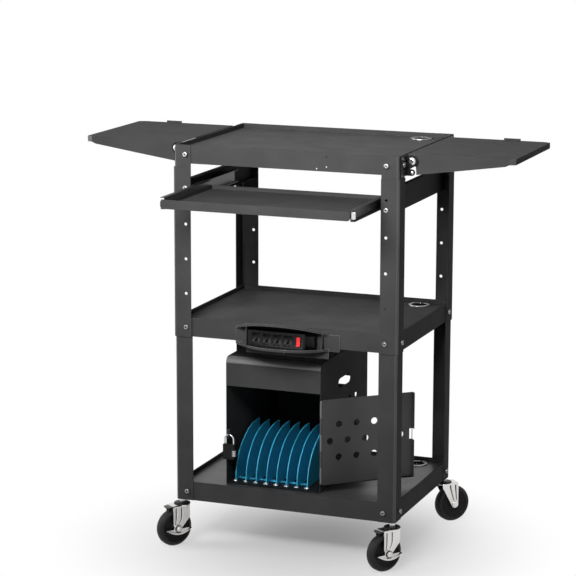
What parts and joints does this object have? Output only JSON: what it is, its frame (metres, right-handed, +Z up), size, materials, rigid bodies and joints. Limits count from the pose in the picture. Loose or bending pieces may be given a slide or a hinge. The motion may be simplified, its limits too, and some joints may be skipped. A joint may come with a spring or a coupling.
{
  "type": "audio visual cart",
  "caption": "Rolling steel equipment cart with trays, fold-down side leaves, a pull-out keyboard tray, a tablet cabinet with a padlocked door, a power strip and braked casters.",
  "frame": {"origin": "centre of the bounding box's footprint, at the height where the wheels stand on the floor", "axes": "+X to the user's right along the longer side with the leaves, +Y towards the back, +Z up; the keyboard tray faces -Y"},
  "size_m": [1.172, 0.7096, 1.0774],
  "materials": {
    "black_coat": "satin black powder coat",
    "zinc": "bright zinc plate",
    "chrome": "polished chrome plate",
    "wheel_rubber": "matte black moulded rubber",
    "black_plastic": "fine textured black plastic",
    "red_plastic": "glossy translucent red",
    "blue_plastic": "satin blue moulded plastic",
    "lock_black": "black coated cast metal"
  },
  "bodies": {
    "cart": {"bottom_shelf": "black_coat", "cabinet_floor": "black_coat", "cabinet_shell": "black_coat", "cable_grommet_bottom": "chrome", "cable_grommet_middle": "chrome", "cable_grommet_top": "chrome", "caster_stem_fl": "chrome", "caster_stem_fr": "chrome", "caster_stem_rl": "chrome", "caster_stem_rr": "chrome", "divider_rack": "blue_plastic", "door_hinge_pin": "zinc", "keyboard_support_left": "black_coat", "keyboard_support_right": "black_coat", "leaf_bracket_fl": "black_coat", "leaf_bracket_fr": "black_coat", "leaf_bracket_rl": "black_coat", "leaf_bracket_rr": "black_coat", "leaf_pivot_fl": "zinc", "leaf_pivot_fr": "zinc", "leaf_pivot_rl": "zinc", "leaf_pivot_rr": "zinc", "lower_leg_fl": "black_coat", "lower_leg_fr": "black_coat", "lower_leg_rl": "black_coat", "lower_leg_rr": "black_coat", "middle_shelf": "black_coat", "outer_leg_fl": "black_coat", "outer_leg_fr": "black_coat", "outer_leg_rl": "black_coat", "outer_leg_rr": "black_coat", "padlock_staple": "zinc", "slide_rail_outer_left": "zinc", "slide_rail_outer_right": "zinc", "strip_bracket": "black_coat", "strip_housing": "black_plastic", "top_tray": "black_coat", "upper_leg_fl": "black_coat", "upper_leg_fr": "black_coat", "upper_leg_rl": "black_coat", "upper_leg_rr": "black_coat"},
    "leaf_left": {"leaf_left": "black_coat"},
    "leaf_right": {"leaf_right": "black_coat"},
    "keyboard_drawer": {"keyboard_tray": "black_coat", "slide_rail_inner_left": "zinc", "slide_rail_inner_right": "zinc"},
    "strip_switch": {"strip_switch": "red_plastic"},
    "cabinet_door": {"cabinet_door": "black_coat"},
    "padlock_shackle": {"padlock_shackle": "chrome"},
    "padlock_body": {"padlock_body": "lock_black"},
    "caster_fork_fl": {"caster_fork_fl": "chrome"},
    "caster_wheel_fl": {"caster_wheel_fl": "wheel_rubber"},
    "caster_fork_fr": {"caster_fork_fr": "chrome"},
    "caster_wheel_fr": {"caster_wheel_fr": "wheel_rubber"},
    "caster_fork_rl": {"caster_fork_rl": "chrome"},
    "caster_wheel_rl": {"caster_wheel_rl": "wheel_rubber"},
    "caster_fork_rr": {"caster_fork_rr": "chrome"},
    "caster_wheel_rr": {"caster_wheel_rr": "wheel_rubber"},
    "brake_pedal_fl": {"brake_pedal_fl": "chrome"},
    "brake_pedal_fr": {"brake_pedal_fr": "chrome"}
  },
  "joints": [
    {"name": "leaf_left_fold", "type": "hinge", "parent": "cart", "child": "leaf_left", "pos_m": [-0.3211, 0.07223, 1.0554], "axis": [0, -1, 0], "range_deg": [0, 88]},
    {"name": "leaf_right_fold", "type": "hinge", "parent": "cart", "child": "leaf_right", "pos_m": [0.3211, 0.07223, 1.0554], "axis": [0, 1, 0], "range_deg": [0, 88]},
    {"name": "keyboard_slide", "type": "slide", "parent": "cart", "child": "keyboard_drawer", "axis": [0, -1, 0], "range_m": [-0.19, 0.045]},
    {"name": "strip_switch_rock", "type": "hinge", "parent": "cart", "child": "strip_switch", "pos_m": [0.0495, -0.18397, 0.5854], "axis": [1, 0, 0], "range_deg": [0, 14]},
    {"name": "cabinet_door_swing", "type": "hinge", "parent": "cart", "child": "cabinet_door", "pos_m": [0.0809, -0.10317, 0.125], "axis": [0, 0, 1], "range_deg": [-40, 42]},
    {"name": "padlock_swing", "type": "hinge", "parent": "cart", "child": "padlock_shackle", "pos_m": [-0.1745, -0.11027, 0.3003], "axis": [1, 0, 0], "range_deg": [-30, 1.5]},
    {"name": "padlock_release", "type": "slide", "parent": "padlock_shackle", "child": "padlock_body", "axis": [0, 0, -1], "range_m": [0, 0.006]},
    {"name": "caster_swivel_fl", "type": "hinge", "parent": "cart", "child": "caster_fork_fl", "pos_m": [-0.294, -0.14927, 0.125], "axis": [0, 0, 1], "continuous": true},
    {"name": "caster_swivel_fr", "type": "hinge", "parent": "cart", "child": "caster_fork_fr", "pos_m": [0.294, -0.14927, 0.125], "axis": [0, 0, 1], "continuous": true},
    {"name": "caster_swivel_rl", "type": "hinge", "parent": "cart", "child": "caster_fork_rl", "pos_m": [-0.294, 0.29373, 0.125], "axis": [0, 0, 1], "continuous": true},
    {"name": "caster_swivel_rr", "type": "hinge", "parent": "cart", "child": "caster_fork_rr", "pos_m": [0.294, 0.29373, 0.125], "axis": [0, 0, 1], "continuous": true},
    {"name": "caster_spin_fl", "type": "hinge", "parent": "caster_fork_fl", "child": "caster_wheel_fl", "pos_m": [-0.30854, -0.17082, 0.05], "axis": [0.829, -0.5592, 0], "continuous": true},
    {"name": "caster_spin_fr", "type": "hinge", "parent": "caster_fork_fr", "child": "caster_wheel_fr", "pos_m": [0.27946, -0.17082, 0.05], "axis": [0.829, -0.5592, 0], "continuous": true},
    {"name": "caster_spin_rl", "type": "hinge", "parent": "caster_fork_rl", "child": "caster_wheel_rl", "pos_m": [-0.27627, 0.31275, 0.05], "axis": [-0.7314, 0.682, 0], "continuous": true},
    {"name": "caster_spin_rr", "type": "hinge", "parent": "caster_fork_rr", "child": "caster_wheel_rr", "pos_m": [0.31173, 0.31275, 0.05], "axis": [-0.7314, 0.682, 0], "continuous": true},
    {"name": "brake_pedal_press_fl", "type": "hinge", "parent": "caster_fork_fl", "child": "brake_pedal_fl", "pos_m": [-0.30854, -0.17082, 0.05], "axis": [0.829, -0.5592, 0], "range_deg": [0, 15]},
    {"name": "brake_pedal_press_fr", "type": "hinge", "parent": "caster_fork_fr", "child": "brake_pedal_fr", "pos_m": [0.27946, -0.17082, 0.05], "axis": [0.829, -0.5592, 0], "range_deg": [0, 15]}
  ]
}
